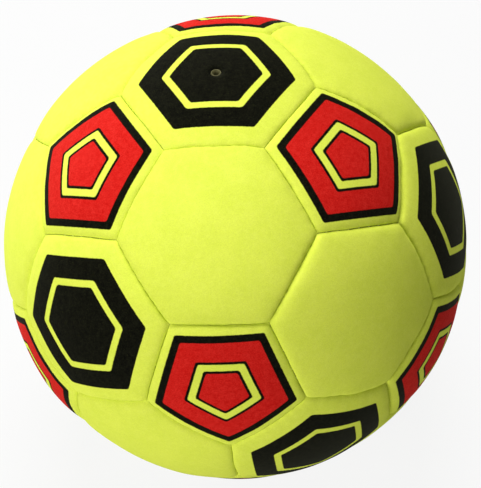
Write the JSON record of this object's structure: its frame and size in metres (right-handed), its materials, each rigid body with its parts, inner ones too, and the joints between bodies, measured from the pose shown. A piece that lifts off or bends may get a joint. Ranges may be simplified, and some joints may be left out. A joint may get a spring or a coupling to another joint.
{
  "type": "indoor soccer ball",
  "caption": "Inflatable indoor soccer ball with sewn felt panels over textile backings, a rubber bladder and a needle valve.",
  "frame": {"origin": "middle of the ball", "axes": "+Z through the valve, which is the middle of valve_hexagon; -Y towards crown_hexagon_1, the panel that faces the picture's camera"},
  "size_m": [0.2178, 0.2188, 0.2196],
  "materials": {
    "felt": "short-napped felt",
    "backing_cloth": "woven cloth",
    "seam_thread": "waxed thread",
    "bladder_rubber": "smooth rubber",
    "valve_rubber": "matte rubber",
    "core_rubber": "matte rubber"
  },
  "bodies": {
    "root": {"base_hexagon": "felt", "bladder": "bladder_rubber", "crown_hexagon_1": "felt", "crown_hexagon_2": "felt", "crown_hexagon_3": "felt", "crown_pentagon_1": "felt", "crown_pentagon_2": "felt", "crown_pentagon_3": "felt", "foot_hexagon_1": "felt", "foot_hexagon_2": "felt", "foot_hexagon_3": "felt", "foot_pentagon_1": "felt", "foot_pentagon_2": "felt", "foot_pentagon_3": "felt", "hexagon_backings": "backing_cloth", "hexagon_seam_threads": "seam_thread", "lower_hexagon_1": "felt", "lower_hexagon_2": "felt", "lower_hexagon_3": "felt", "lower_hexagon_4": "felt", "lower_hexagon_5": "felt", "lower_hexagon_6": "felt", "lower_pentagon_1": "felt", "lower_pentagon_2": "felt", "lower_pentagon_3": "felt", "pentagon_backings": "backing_cloth", "pentagon_seam_threads": "seam_thread", "upper_hexagon_1": "felt", "upper_hexagon_2": "felt", "upper_hexagon_3": "felt", "upper_hexagon_4": "felt", "upper_hexagon_5": "felt", "upper_hexagon_6": "felt", "upper_pentagon_1": "felt", "upper_pentagon_2": "felt", "upper_pentagon_3": "felt", "valve_backing": "backing_cloth", "valve_body": "valve_rubber", "valve_core": "core_rubber", "valve_hexagon": "felt"}
  },
  "joints": []
}
